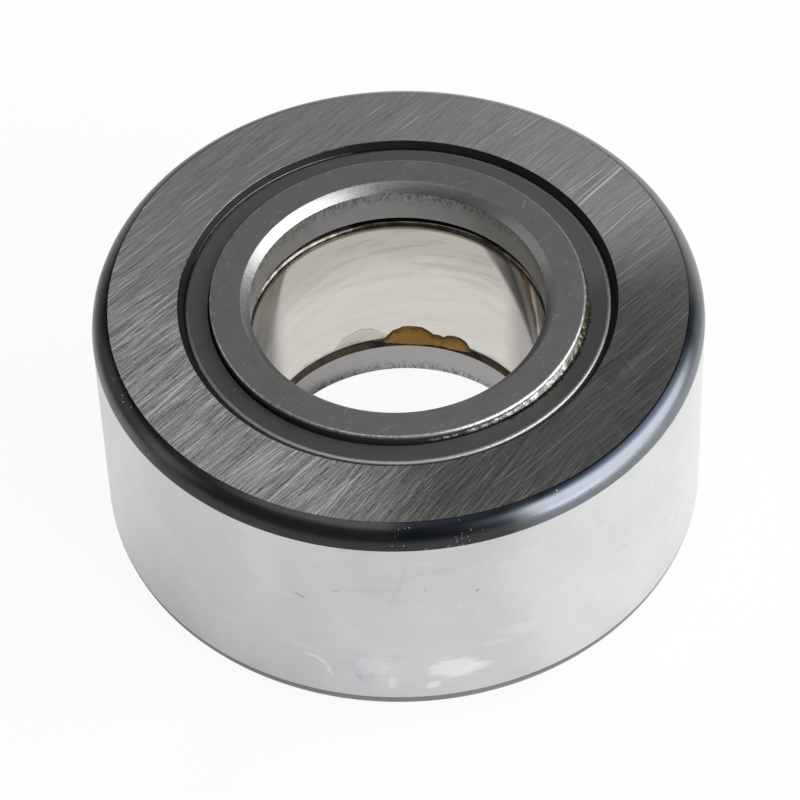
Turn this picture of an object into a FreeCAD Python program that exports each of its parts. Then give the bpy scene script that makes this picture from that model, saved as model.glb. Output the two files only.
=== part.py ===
import FreeCAD, Part
import math
import os
from collections import namedtuple

# Yoke type track roller: a thick outer ring that rolls along a cam or rail on two full rows of
# cylindrical rollers. The bore slides onto a fixed axle, and the axle's nut clamps the inner ring
# between two loose flange rings. A pressed-in angle ring shields each side.
# The origin lies on the bore axis in the lower flange face, with +Z along the axis. Millimetres.

# Inner ring
bore_diameter = 30.0          # hole that slides onto the axle
inner_ring_wall = 4.2         # from the bore to the inner raceway
inner_ring_chamfer = 0.55     # both mouths of its bore
inner_ring_edge = 0.3         # broken edges of the inner raceway
grease_hole_diameter = 2.5    # radial hole that feeds grease from the axle to the rollers

# Rollers, two full rows without a cage
roller_count = 23             # in each row
roller_length = 9.0
roller_chamfer = 0.4          # broken edges at both ends
roller_spacing = 0.0594       # room between neighbours in a row
roller_end_play = 0.1         # at the outer end of each row and between the rows
raceway_clearance = 0.05      # between a roller and each raceway

# Flange rings
flange_thickness = 5.35
flange_nose_wall = 4.0        # from the bore to the nose that stands inside the shield
flange_collar_step = 1.5      # height of the collar over the nose
flange_mouth_chamfer = 0.9    # outer mouth of the bore
flange_joint_chamfer = 0.8    # bore edge that meets the inner ring
flange_nose_rounding = 0.3    # outer edge of the nose
flange_projection = 0.5       # flange face over the outer ring's face

# Shields, angle rings of sheet steel
shield_sheet = 0.8
shield_bend = 0.4             # outside radius of the bend
shield_inset = 0.5            # below the outer ring's face
nose_gap = 0.18               # sealing gap round the flange ring's nose
collar_gap = 0.3              # running gap round and over the flange ring's collar

# Outer ring
outer_ring_wall = 5.7         # from the outer raceway to the tread
outer_ring_rib = 1.35         # rib between the raceway and the shield's seat
relief_width = 0.8            # grinding groove at each end of the raceway, along the axis
relief_depth = 0.25           # grinding groove, below the raceway
seat_chamfer = 0.6            # mouth of the shield's seat
corner_width = 1.72           # rounded corner, across the face
corner_height = 2.41          # rounded corner, along the tread
corner_bulge = 0.44           # rise of the corner's arc over its chord

# Radii. The rollers fill their row, so their radius follows from the raceway and their count:
# neighbours on the pitch circle stand one diameter and one spacing apart.
bore_radius = bore_diameter / 2
inner_raceway = bore_radius + inner_ring_wall
row_root = inner_raceway + raceway_clearance
half_pitch_sine = math.sin(math.pi / roller_count)
roller_radius = (row_root * half_pitch_sine - roller_spacing / 2) / (1 - half_pitch_sine)
pitch_radius = row_root + roller_radius
outer_raceway = pitch_radius + roller_radius + raceway_clearance
tread_radius = outer_raceway + outer_ring_wall
nose_radius = bore_radius + flange_nose_wall
collar_radius = nose_radius + flange_collar_step
lip_radius = nose_radius + nose_gap
rib_radius = collar_radius + collar_gap
seat_radius = rib_radius + shield_sheet

# Heights, for the upper side
inner_ring_width = 2 * roller_length + 3 * roller_end_play
total_width = inner_ring_width + 2 * flange_thickness
mid_height = total_width / 2
joint_height = total_width - flange_thickness
outer_face = total_width - flange_projection
shield_top = outer_face - shield_inset
lip_underside = shield_top - shield_sheet
collar_top = lip_underside - collar_gap
seat_height = joint_height + outer_ring_rib

AXIS = FreeCAD.Vector(0, 0, 1)
ORIGIN = FreeCAD.Vector(0, 0, 0)

# A corner of a section outline. The bulge is how far the stretch that leaves the corner rises
# over its straight chord as an arc.
Corner = namedtuple("Corner", "radius height bulge", defaults=[0.0])


def quarter_bulge(radius):
    """Rise of a quarter circle of this radius over its chord."""
    return radius * (1 - math.sqrt(0.5))


def both_sides(upper):
    """Complete an upper half outline with its mirror image below the mid height."""
    lower = []
    arriving_bulges = [0.0] + [corner.bulge for corner in upper[:-1]]
    for corner, bulge in zip(upper, arriving_bulges):
        lower.insert(0, Corner(corner.radius, 2 * mid_height - corner.height, bulge))
    return upper + lower


def turned(corners):
    """Turn a section outline, listed counterclockwise, about the bore axis."""
    edges = []
    for here, there in zip(corners, corners[1:] + corners[:1]):
        start = FreeCAD.Vector(here.radius, 0, here.height)
        end = FreeCAD.Vector(there.radius, 0, there.height)
        if here.bulge:
            chord = end - start
            outward = FreeCAD.Vector(chord.z, 0, -chord.x).normalize()
            crest = (start + end) / 2 + outward * here.bulge
            edges.append(Part.Arc(start, crest, end).toShape())
        else:
            edges.append(Part.LineSegment(start, end).toShape())
    section = Part.Face(Part.Wire(edges))
    return section.revolve(ORIGIN, AXIS, 360)


def turned_over(shape):
    """A copy of an upper piece for the lower side."""
    copy = shape.copy()
    copy.rotate(FreeCAD.Vector(0, 0, mid_height), FreeCAD.Vector(1, 0, 0), 180)
    return copy


def make_outer_ring():
    """Tread, rounded corners, shield seats, and a rib and groove at each end of the raceway."""
    return turned(both_sides([
        Corner(tread_radius, outer_face - corner_height, corner_bulge),
        Corner(tread_radius - corner_width, outer_face),
        Corner(seat_radius + seat_chamfer, outer_face),
        Corner(seat_radius, outer_face - seat_chamfer),
        Corner(seat_radius, seat_height),
        Corner(rib_radius, seat_height),
        Corner(rib_radius, joint_height),
        Corner(outer_raceway + relief_depth, joint_height),
        Corner(outer_raceway + relief_depth, joint_height - relief_width),
        Corner(outer_raceway, joint_height - relief_width),
    ]))


def make_inner_ring():
    """Plain raceway ring with a radial grease hole at mid height."""
    blank = turned(both_sides([
        Corner(inner_raceway, joint_height - inner_ring_edge),
        Corner(inner_raceway - inner_ring_edge, joint_height),
        Corner(bore_radius + inner_ring_chamfer, joint_height),
        Corner(bore_radius, joint_height - inner_ring_chamfer),
    ]))
    hole = Part.makeCylinder(
        grease_hole_diameter / 2,
        inner_raceway,
        FreeCAD.Vector(0, 0, mid_height),
        FreeCAD.Vector(0, -1, 0),
    )
    return blank.cut(hole)


def make_flange_ring():
    """Collar that guides the rollers, and a nose with the clamped outer face."""
    return turned([
        Corner(collar_radius, joint_height),
        Corner(collar_radius, collar_top),
        Corner(nose_radius, collar_top),
        Corner(nose_radius, total_width - flange_nose_rounding, quarter_bulge(flange_nose_rounding)),
        Corner(nose_radius - flange_nose_rounding, total_width),
        Corner(bore_radius + flange_mouth_chamfer, total_width),
        Corner(bore_radius, total_width - flange_mouth_chamfer),
        Corner(bore_radius, joint_height + flange_joint_chamfer),
        Corner(bore_radius + flange_joint_chamfer, joint_height),
    ])


def make_shield():
    """Angle ring with its leg pressed into the outer ring and its lip round the flange ring's nose."""
    return turned([
        Corner(seat_radius, seat_height),
        Corner(seat_radius, shield_top - shield_bend, quarter_bulge(shield_bend)),
        Corner(seat_radius - shield_bend, shield_top),
        Corner(lip_radius, shield_top),
        Corner(lip_radius, lip_underside),
        Corner(rib_radius, lip_underside),
        Corner(rib_radius, seat_height),
    ])


def make_roller():
    """Cylindrical roller with broken edges, standing on the origin."""
    return turned([
        Corner(0, 0),
        Corner(roller_radius - roller_chamfer, 0),
        Corner(roller_radius, roller_chamfer),
        Corner(roller_radius, roller_length - roller_chamfer),
        Corner(roller_radius - roller_chamfer, roller_length),
        Corner(0, roller_length),
    ])


def placed_in_row(roller, number, base_height):
    """A copy of the roller at its place on the pitch circle."""
    angle = 2 * math.pi * number / roller_count
    copy = roller.copy()
    copy.translate(FreeCAD.Vector(pitch_radius * math.cos(angle), pitch_radius * math.sin(angle), base_height))
    return copy


flange_ring = make_flange_ring()
shield = make_shield()
roller = make_roller()
parts = {
    "outer_ring": make_outer_ring(),
    "inner_ring": make_inner_ring(),
    "upper_flange_ring": flange_ring,
    "lower_flange_ring": turned_over(flange_ring),
    "upper_shield": shield,
    "lower_shield": turned_over(shield),
}
row_bases = {
    "upper": mid_height + roller_end_play / 2,
    "lower": mid_height - roller_end_play / 2 - roller_length,
}
for row, base_height in row_bases.items():
    for number in range(roller_count):
        parts[f"{row}_roller_{number + 1:02d}"] = placed_in_row(roller, number, base_height)

os.makedirs("parts", exist_ok=True)
for name, shape in parts.items():
    shape.exportStep(f"parts/{name}.step")

print(f"{len(parts)} pieces, {2 * tread_radius:.3f} across and {total_width:.3f} wide")
print(f"raceways {2 * inner_raceway:.3f} and {2 * outer_raceway:.3f} across, rollers {2 * roller_radius:.4f}")
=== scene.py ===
# %% [markdown]
# # A yoke type track roller
# The object is a thick steel ring that rolls on two hidden rows of rollers round a fixed bore.
# The imported model gives every piece at its real size in metres, so the first cell loads it and
# keeps its box. Nothing that comes later moves or resizes these pieces.

# %% Load the frame
import math
import bpy
from mathutils import Matrix, Vector


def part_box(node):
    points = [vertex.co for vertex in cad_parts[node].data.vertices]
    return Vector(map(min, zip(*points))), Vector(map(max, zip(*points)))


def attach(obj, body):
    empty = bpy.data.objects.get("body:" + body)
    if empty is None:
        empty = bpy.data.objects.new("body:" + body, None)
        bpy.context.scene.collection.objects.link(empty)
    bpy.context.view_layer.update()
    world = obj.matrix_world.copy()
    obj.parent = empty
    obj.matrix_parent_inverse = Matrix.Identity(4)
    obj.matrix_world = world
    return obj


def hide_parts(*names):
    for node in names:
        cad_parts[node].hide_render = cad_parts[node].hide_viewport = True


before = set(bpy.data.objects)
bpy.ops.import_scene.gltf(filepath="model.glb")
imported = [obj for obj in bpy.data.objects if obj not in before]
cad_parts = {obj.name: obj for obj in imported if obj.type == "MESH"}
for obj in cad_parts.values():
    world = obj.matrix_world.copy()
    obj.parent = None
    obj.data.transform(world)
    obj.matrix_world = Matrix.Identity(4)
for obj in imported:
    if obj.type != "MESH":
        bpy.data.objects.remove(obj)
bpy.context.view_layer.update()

# %% [markdown]
# ## Sizes
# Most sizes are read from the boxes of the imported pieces. A box can't show a chamfer or the step
# behind a shield, so those few sizes are written out in millimetres times `MM`, here or where they are
# first needed.

# %% Read the sizes
MM = 0.001
raceway_clearance = 0.05 * MM
collar_gap = 0.3 * MM

tread_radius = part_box("outer_ring")[1].x
face_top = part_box("outer_ring")[1].z
seat_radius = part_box("upper_shield")[1].x
seat_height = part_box("upper_shield")[0].z
shield_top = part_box("upper_shield")[1].z
collar_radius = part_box("upper_flange_ring")[1].x
joint_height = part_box("upper_flange_ring")[0].z
flange_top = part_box("upper_flange_ring")[1].z
inner_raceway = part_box("inner_ring")[1].x
outer_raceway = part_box("upper_roller_01")[1].x + raceway_clearance
mid_height = flange_top / 2

bore_radius = 15.0 * MM
nose_radius = 19.0 * MM
lip_radius = 19.18 * MM
rib_radius = 20.8 * MM
shield_sheet = 0.8 * MM
collar_top = shield_top - shield_sheet - collar_gap
print(f"tread {tread_radius / MM:.2f}, seat {seat_radius / MM:.2f}, height {flange_top / MM:.2f} mm")

# %% [markdown]
# ## Camera
# The photograph was taken with a long lens from about 49 degrees above the table. A pinhole camera
# fitted to the photo's circles gives the numbers below: they are sizes in the room, not pixels.

# %% Set up the camera
view_elevation = math.radians(48.678)
view_distance = 431.61 * MM
aim_right = -0.1424 * MM
aim_up = -1.0976 * MM
view_roll = -0.0368
lens_mm = 188.04

middle = Vector((0, 0, mid_height))
back = Vector((0, -math.cos(view_elevation), math.sin(view_elevation)))
up = Vector((0, math.sin(view_elevation), math.cos(view_elevation)))
place = middle + back * view_distance
target = middle + Vector((aim_right, 0, 0)) + up * aim_up
axis = (place - target).normalized()
right = up.cross(axis).normalized()
facing = Matrix((right, axis.cross(right), axis)).transposed().to_4x4()

camera = bpy.data.objects.new("camera", bpy.data.cameras.new("camera"))
bpy.context.scene.collection.objects.link(camera)
camera.matrix_world = Matrix.Translation(place) @ facing @ Matrix.Rotation(view_roll, 4, "Z")
camera.data.lens = lens_mm
camera.data.sensor_width = 36.0
camera.data.clip_start = 10 * MM
camera.data.clip_end = 20.0
bpy.context.scene.camera = camera
print("camera at", [round(v, 4) for v in camera.location])

# %% [markdown]
# ## Turning a ring
# Every ring of this roller is round about the bore axis, as it comes off a lathe. A Screw modifier
# could turn a section too, but the modelling follows the lathe: a circle of edges is walked along the
# section by extruding and scaling it, until it is back at its start, where the ends are merged. A
# small bevel then breaks the sharp edges, as a tool would, so that they catch the light. A Weighted
# Normal modifier keeps the flats flat beside those bevels.

# %% Helpers for sections
QUARTER_RISE = 1 - math.sqrt(0.5)


def arc(start, end, bulge, steps=8):
    """Points from start to end, without start, on an arc that rises over its chord by bulge."""
    chord = Vector(end) - Vector(start)
    half = chord.length / 2
    radius = (half * half + bulge * bulge) / (2 * bulge)
    outward = Vector((chord.y, -chord.x)).normalized()
    centre = (Vector(start) + Vector(end)) / 2 + outward * (bulge - radius)
    spoke = Vector(start) - centre
    sweep = 2 * math.asin(half / radius)
    points = []
    for step in range(1, steps + 1):
        angle = sweep * step / steps
        turn = Matrix.Rotation(angle, 2)
        points.append(tuple(centre + turn @ spoke))
    return points


def both_sides(upper):
    """An upper half section, completed with its mirror image below the mid height."""
    return upper + [(radius, 2 * mid_height - height) for radius, height in reversed(upper)]


print(f"a quarter round rises {QUARTER_RISE:.3f} of its radius over its chord")

# %% Helpers that close and shade a mesh
MERGE_GAP = 0.001 * MM
SMOOTH_ANGLE = math.radians(35)


def close_mesh():
    """Merge the points that meet, turn every face outward and leave Edit mode."""
    bpy.ops.mesh.select_all(action="SELECT")
    bpy.ops.mesh.remove_doubles(threshold=MERGE_GAP)
    bpy.ops.mesh.normals_make_consistent(inside=False)
    bpy.ops.object.mode_set(mode="OBJECT")


def even_shading(piece):
    """Shade a piece smooth, with the large faces flat up to their broken edges."""
    bpy.ops.object.select_all(action="DESELECT")
    piece.select_set(True)
    bpy.context.view_layer.objects.active = piece
    bpy.ops.mesh.customdata_custom_splitnormals_clear()
    bpy.ops.object.shade_smooth_by_angle(angle=SMOOTH_ANGLE)
    even = piece.modifiers.new("even shading", "WEIGHTED_NORMAL")
    even.keep_sharp = True
    bpy.ops.object.modifier_apply(modifier=even.name)


print(f"points that are {MERGE_GAP / MM} mm apart or less are merged")

# %% Lathe
TURN_STEPS = 288
SHARP_ANGLE = math.radians(28)


def turn_ring(name, section, edge_break):
    """Walk a circle of edges along a closed section, merge its ends and break the sharp edges."""
    bpy.ops.object.select_all(action="DESELECT")
    radius, height = section[0]
    bpy.ops.mesh.primitive_circle_add(vertices=TURN_STEPS, radius=radius, location=(0, 0, height))
    piece = bpy.context.object
    piece.name = name
    bpy.ops.object.transform_apply(location=True, rotation=True, scale=True)
    bpy.ops.object.mode_set(mode="EDIT")
    bpy.ops.mesh.select_all(action="SELECT")
    for next_radius, next_height in section[1:] + section[:1]:
        grow = next_radius / radius
        bpy.ops.mesh.extrude_edges_move(TRANSFORM_OT_translate={"value": (0, 0, next_height - height)})
        bpy.ops.transform.resize(value=(grow, grow, 1), center_override=(0, 0, next_height))
        radius, height = next_radius, next_height
    close_mesh()
    edges = piece.modifiers.new("broken edges", "BEVEL")
    edges.width = edge_break
    edges.segments = 3
    edges.limit_method = "ANGLE"
    edges.angle_limit = SHARP_ANGLE
    bpy.ops.object.modifier_apply(modifier=edges.name)
    even_shading(piece)
    print(name, len(piece.data.polygons), "faces")
    return piece


print("rings are turned in", TURN_STEPS, "steps")

# %% Turn a piece over
def turn_over(piece, name):
    """A copy of an upper piece for the lower side, with its own mesh."""
    bpy.ops.object.select_all(action="DESELECT")
    copy = piece.copy()
    copy.data = piece.data.copy()
    copy.name = name
    bpy.context.scene.collection.objects.link(copy)
    copy.data.transform(Matrix.Translation((0, 0, 2 * mid_height)) @ Matrix.Rotation(math.pi, 4, "X"))
    return copy


print("pieces are turned over at a height of", round(mid_height / MM, 3), "mm")

# %% [markdown]
# ## Outer ring
# The tread and the two faces are ground bright. Between them the turned corner was left black from
# hardening: its arc meets both ground surfaces at an edge. Inside the face lies the seat of the
# shield, then a rib and the raceway that the rollers run on. A hair-thin strip beside each edge of
# the corner keeps the wide surfaces flat in the shading.

# %% Outer ring
corner_width = 1.72 * MM
corner_height = 2.41 * MM
corner_bulge = 0.44 * MM
seat_chamfer = 0.6 * MM
relief_depth = 0.25 * MM
relief_width = 0.8 * MM
edge_strip = 0.04 * MM

corner_low = (tread_radius, face_top - corner_height)
corner_high = (tread_radius - corner_width, face_top)
upper_section = [
    (tread_radius, face_top - corner_height - edge_strip),
    corner_low,
] + arc(corner_low, corner_high, corner_bulge, steps=14) + [
    (tread_radius - corner_width - edge_strip, face_top),
    (seat_radius + seat_chamfer, face_top),
    (seat_radius, face_top - seat_chamfer),
    (seat_radius, seat_height),
    (rib_radius, seat_height),
    (rib_radius, joint_height),
    (outer_raceway + relief_depth, joint_height),
    (outer_raceway + relief_depth, joint_height - relief_width),
    (outer_raceway, joint_height - relief_width),
]
outer_ring = turn_ring("outer_ring_turned", both_sides(upper_section), edge_break=0.05 * MM)

# %% [markdown]
# ## Shields
# A shield is an angle ring of thin sheet. Its leg is pressed into the outer ring and its lip reaches
# in to the flange ring's nose, with a gap no wider than a few hairs. The bend between them could be
# left to a Bevel modifier, but an arc in the section gives it the true radius. The lower shield is a
# copy that is turned over, because both are the same part.

# %% Shields
shield_bend = 0.4 * MM
bend_rise = shield_bend * QUARTER_RISE

bend_low = (seat_radius, shield_top - shield_bend)
bend_high = (seat_radius - shield_bend, shield_top)
shield_section = [(seat_radius, seat_height), bend_low] + arc(bend_low, bend_high, bend_rise) + [
    (seat_radius - shield_bend - edge_strip, shield_top),
    (lip_radius, shield_top),
    (lip_radius, shield_top - shield_sheet),
    (rib_radius, shield_top - shield_sheet),
    (rib_radius, seat_height),
]
upper_shield = turn_ring("upper_shield_drawn", shield_section, edge_break=0.06 * MM)
lower_shield = turn_over(upper_shield, "lower_shield_drawn")

# %% [markdown]
# ## Flange rings
# The flange ring's nose stands half a millimetre over the outer ring, so that only it is clamped.
# The collar behind the shield guides the rollers. One section holds nose, collar and chamfers, as a
# lathe cuts them in one clamping, and the lower ring is a copy again.

# %% Flange rings
nose_rounding = 0.3 * MM
nose_rise = nose_rounding * QUARTER_RISE
mouth_chamfer = 0.9 * MM
flange_joint_chamfer = 0.8 * MM

nose_low = (nose_radius, flange_top - nose_rounding)
nose_high = (nose_radius - nose_rounding, flange_top)
flange_section = [
    (collar_radius, joint_height),
    (collar_radius, collar_top),
    (nose_radius, collar_top),
    nose_low,
] + arc(nose_low, nose_high, nose_rise, steps=6) + [
    (nose_radius - nose_rounding - edge_strip, flange_top),
    (bore_radius + mouth_chamfer, flange_top),
    (bore_radius, flange_top - mouth_chamfer),
    (bore_radius, joint_height + flange_joint_chamfer),
    (bore_radius + flange_joint_chamfer, joint_height),
]
upper_flange = turn_ring("upper_flange_turned", flange_section, edge_break=0.05 * MM)
lower_flange = turn_over(upper_flange, "lower_flange_turned")

# %% [markdown]
# ## Inner ring
# The inner ring shows only its polished bore, between the two dark joint grooves. A radial hole on
# the near side, which the ring itself hides from the camera, feeds grease from the axle to the
# rollers. It is cut with a Boolean modifier, because a drilled hole is a cylinder taken away.

# %% Inner ring
inner_joint_chamfer = 0.55 * MM
inner_edge = 0.3 * MM

inner_section = [
    (inner_raceway, joint_height - inner_edge),
    (inner_raceway - inner_edge, joint_height),
    (bore_radius + inner_joint_chamfer, joint_height),
    (bore_radius, joint_height - inner_joint_chamfer),
]
inner_ring = turn_ring("inner_ring_turned", both_sides(inner_section), edge_break=0.05 * MM)

# %% Grease hole
grease_hole_radius = 1.25 * MM

bpy.ops.object.select_all(action="DESELECT")
bpy.ops.mesh.primitive_cylinder_add(
    vertices=48,
    radius=grease_hole_radius,
    depth=inner_raceway,
    location=(0, -inner_raceway, mid_height),
    rotation=(math.radians(90), 0, 0),
)
drill = bpy.context.object
bpy.ops.object.select_all(action="DESELECT")
bpy.context.view_layer.objects.active = inner_ring
hole = inner_ring.modifiers.new("grease hole", "BOOLEAN")
hole.operation = "DIFFERENCE"
hole.object = drill
bpy.ops.object.modifier_apply(modifier=hole.name)
bpy.data.objects.remove(drill)
even_shading(inner_ring)
print("inner ring with its grease hole:", len(inner_ring.data.polygons), "faces")

# %% [markdown]
# ## Oil in the joints
# Where the inner ring meets the flange rings, oil has crept into the joint and stands there as a
# round bead, which is why the joint shows a thin bright line between two dark ones. A bead follows
# the joint all the way round, so it is turned like a ring, over the chamfer that holds it.

# %% Oil beads
bead_rise = 0.13 * MM
bead_root = 0.06 * MM
foot_inset = 0.03 * MM
foot_lift = 0.01 * MM
head_drop = 0.02 * MM


def oil_bead(name, joint, chamfer):
    """A bead that bulges over the chamfer below a joint of the bore."""
    foot = (bore_radius + foot_inset, joint - chamfer + foot_lift)
    head = (bore_radius + chamfer, joint - head_drop)
    root = (head[0] + bead_root, (head[1] + foot[1]) / 2)
    return turn_ring(name, [head] + arc(head, foot, bead_rise, steps=7) + [root], edge_break=0.01 * MM)


lower_joint = 2 * mid_height - joint_height
upper_oil = oil_bead("upper_joint_oil", joint_height, inner_joint_chamfer)
lower_oil = oil_bead("lower_joint_oil", lower_joint, flange_joint_chamfer)

# %% [markdown]
# ## Grease on the nose
# Surplus grease was wiped along the sealing gap on one side and clings to the flange ring's nose in
# a ragged bead. A flat oval, tilted like the slope that grease takes in a corner, is spun part of
# the way round the axis. Two Displace modifiers with cloud textures roughen it, and its ends are
# drawn thin. It keeps clear of the shield below it, because the shield turns and the nose doesn't.

# %% Helper that roughens grease
def roughen(piece, size, strength):
    """Push a piece in and out with a cloud texture of one size."""
    clouds = bpy.data.textures.new(piece.name + "_clouds", "CLOUDS")
    clouds.noise_scale = size
    lumps = piece.modifiers.new("lumps", "DISPLACE")
    lumps.texture = clouds
    lumps.texture_coords = "GLOBAL"
    lumps.strength = strength
    bpy.ops.object.modifier_apply(modifier=lumps.name)
    print(f"{piece.name} roughened by clouds of {size / MM:.1f} mm")


# %% Nose grease
grease_start = math.radians(274)
grease_sweep = math.radians(100)
grease_tilt = math.radians(48)
# the circle has a radius of a millimetre, so its two scales are millimetres too
grease_half_width = 0.5
grease_half_thickness = 0.12
grease_radius = nose_radius + 0.14 * MM
grease_height = shield_top + 0.5 * MM
grease_x = grease_radius * math.cos(grease_start)
grease_y = grease_radius * math.sin(grease_start)

bpy.ops.object.select_all(action="DESELECT")
bpy.ops.mesh.primitive_circle_add(
    vertices=24,
    radius=MM,
    fill_type="NGON",
    location=(grease_x, grease_y, grease_height),
    rotation=(math.radians(90), grease_tilt, grease_start),
)
nose_grease = bpy.context.object
nose_grease.name = "nose_grease"
nose_grease.scale = (grease_half_width, grease_half_thickness, 1)
bpy.ops.object.transform_apply(location=True, rotation=True, scale=True)
bpy.ops.object.mode_set(mode="EDIT")
bpy.ops.mesh.select_all(action="SELECT")
bpy.ops.mesh.spin(steps=380, angle=-grease_sweep, center=(0, 0, 0), axis=(0, 0, 1))
close_mesh()
roughen(nose_grease, size=0.8 * MM, strength=0.16 * MM)
roughen(nose_grease, size=0.2 * MM, strength=0.08 * MM)
print("nose grease:", len(nose_grease.data.polygons), "faces")

# %% Thin the ends and clear the shield
shield_clearance = 0.03 * MM
grease_sunk = 0.45 * MM
start_slope = 1.4
end_slope = 2.6
grease_bearings = []
for vertex in nose_grease.data.vertices:
    bearing = math.atan2(vertex.co.y, vertex.co.x) - grease_start
    along = bearing % (2 * math.pi) / grease_sweep
    along = min(along, 1.0) if along < 2 else 0.0
    grease_bearings.append(along)
    fullness = min(1.0, start_slope * along, end_slope * (1 - along))
    radius = math.hypot(vertex.co.x, vertex.co.y)
    thinned = radius - grease_sunk * (1 - fullness)
    vertex.co.x *= thinned / radius
    vertex.co.y *= thinned / radius
    vertex.co.z = max(vertex.co.z, shield_top + shield_clearance)
    vertex.co.z = min(vertex.co.z, flange_top - nose_rounding / 3)
nose_grease.data.update()
bpy.ops.object.shade_smooth()
print(f"along the sweep from {min(grease_bearings):.2f} to {max(grease_bearings):.2f}")

# %% [markdown]
# ## Grease in the bore
# Amber grease has oozed from the lower joint up the bore in two lumps, with a low bridge between
# them. A grid is laid on the bore, pushed out where the grease is thick and sunk a little into the
# steel round it, so that its outline is the shoreline of the lumps. Extruding the grid closes it at
# the back.

# %% Bore grease
ooze_first = 54.0
ooze_last = 101.0
ooze_height = 2.9 * MM
ooze_sunk = 0.2 * MM
ooze_back = 0.3 * MM
crest_power = 2.4
ooze_lumps = [
    # bearing in degrees, half width in degrees, crest over the joint, thickness
    (66.5, 8.0, 1.8 * MM, 0.45 * MM),
    (75.0, 7.0, 1.4 * MM, 0.4 * MM),
    (84.5, 13.0, 2.3 * MM, 0.6 * MM),
]


def ooze_thickness(bearing, rise):
    """How far the grease stands off the bore at a place, or below it where there is none."""
    thickness = -ooze_sunk
    for centre, half_width, top, depth in ooze_lumps:
        across = abs(bearing - centre) / half_width
        crest = top * (1 - across ** crest_power)
        if rise < crest:
            thickness = max(thickness, depth * math.sqrt(1 - rise / crest) * (crest / top))
    return thickness


print("grease in", len(ooze_lumps), "overlapping lumps")

# %% Lay the grease on the bore
bpy.ops.object.select_all(action="DESELECT")
bpy.ops.mesh.primitive_grid_add(x_subdivisions=170, y_subdivisions=40, size=2)
bore_grease = bpy.context.object
bore_grease.name = "bore_grease"
for vertex in bore_grease.data.vertices:
    bearing = ooze_first + (ooze_last - ooze_first) * (vertex.co.x + 1) / 2
    rise = ooze_height * (vertex.co.y + 1) / 2
    radius = bore_radius - ooze_thickness(bearing, rise)
    angle = math.radians(bearing)
    vertex.co = (radius * math.cos(angle), radius * math.sin(angle), lower_joint + rise)
bpy.ops.object.mode_set(mode="EDIT")
bpy.ops.mesh.select_all(action="SELECT")
bpy.ops.mesh.extrude_region_move(TRANSFORM_OT_translate={"value": (0, ooze_back, 0)})
close_mesh()
flow = bore_grease.modifiers.new("flow", "SMOOTH")
flow.iterations = 4
bpy.ops.object.modifier_apply(modifier=flow.name)
roughen(bore_grease, size=1.3 * MM, strength=0.2 * MM)
roughen(bore_grease, size=0.4 * MM, strength=0.08 * MM)
bpy.ops.object.shade_smooth()
print("bore grease:", len(bore_grease.data.polygons), "faces")

# %% [markdown]
# ## Nodes for the finishes
# A finish is a small network of nodes round one Principled shader. Short helpers keep the network
# readable: they add a node and wire it, read the place on the piece, make a noise, and fade a value
# between two limits. They work on the network that was started last, so no call has to name it.
# All patterns stand on Object coordinates, so they turn with their piece. Bearings are degrees round
# the axis: 0 is the right, 180 the left and 270 the near side.

# %% Helpers that add and wire nodes
started = []


def add(kind, inputs, output=0, **choices):
    """Add a node to the newest network, set or wire its inputs, and return one of its outputs."""
    network = started[-1].node_tree
    node = network.nodes.new("ShaderNode" + kind)
    for choice, value in choices.items():
        setattr(node, choice, value)
    for name, value in inputs.items():
        if isinstance(value, bpy.types.NodeSocket):
            network.links.new(value, node.inputs[name])
        else:
            node.inputs[name].default_value = value
    return node.outputs[output] if node.outputs else node


def count_nodes(step):
    """Print how large the newest network is after a step."""
    print(started[-1].name, "has", len(started[-1].node_tree.nodes), "nodes with", step)


def use(socket, value):
    """Wire a value into the shader of the newest finish."""
    network = started[-1].node_tree
    network.links.new(value, network.nodes["Principled BSDF"].inputs[socket])
    count_nodes("its " + socket)


def grey(level, warmth=0.0):
    """A grey, with more red and less blue where warmth is above zero."""
    return (level * (1 + warmth), level, level * (1 - warmth), 1)


print("a warm grey:", grey(0.5, 0.02))

# %% Helpers that reckon
def calc(operation, first, second=0.0, third=0.0):
    """One step of arithmetic, by the name of the Math node's operation."""
    return add("Math", {0: first, 1: second, 2: third}, operation=operation)


def times(first, second):
    """Two values multiplied."""
    return calc("MULTIPLY", first, second)


def scaled(value, factor, offset):
    """A value times a factor, plus an offset."""
    return calc("MULTIPLY_ADD", value, factor, offset)


def larger(first, second):
    """The larger one of two values."""
    return calc("MAXIMUM", first, second)


def fade(value, low, high, start=0.0, end=1.0):
    """Follow a value smoothly from start to end while it goes from low to high."""
    limits = {"Value": value, "From Min": low, "From Max": high, "To Min": start, "To Max": end}
    return add("MapRange", limits, interpolation_type="SMOOTHSTEP")


def tint(share, base, cover):
    """Blend from the base colour to the cover colour."""
    return add("Mix", {0: share, 6: base, 7: cover}, output=2, data_type="RGBA")


print("values are multiplied, scaled, compared, faded and blended")

# %% Helpers that read the place
def place_mm():
    """The place on the piece, in millimetres."""
    metres = add("TexCoord", {}, output="Object")
    return add("VectorMath", {0: metres, "Scale": 1 / MM}, operation="SCALE")


def split(vector):
    """The three parts of a vector."""
    return add("SeparateXYZ", {0: vector}).node.outputs


def stretch(place, x, y, z):
    """Scale a place along each axis, to draw a noise out into streaks."""
    return add("VectorMath", {0: place, 1: (x, y, z)}, operation="MULTIPLY")


def from_axis(place):
    """Distance from the bore axis, and the direction away from it."""
    flat = stretch(place, 1, 1, 0)
    distance = add("VectorMath", {0: flat}, output="Value", operation="LENGTH")
    return distance, add("VectorMath", {0: flat}, operation="NORMALIZE")


def towards(direction, degrees):
    """How far a direction points to a bearing round the axis: 1 there, -1 on the far side."""
    bearing = (math.cos(math.radians(degrees)), math.sin(math.radians(degrees)), 0)
    return add("VectorMath", {0: direction, 1: bearing}, output="Value", operation="DOT_PRODUCT")


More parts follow.
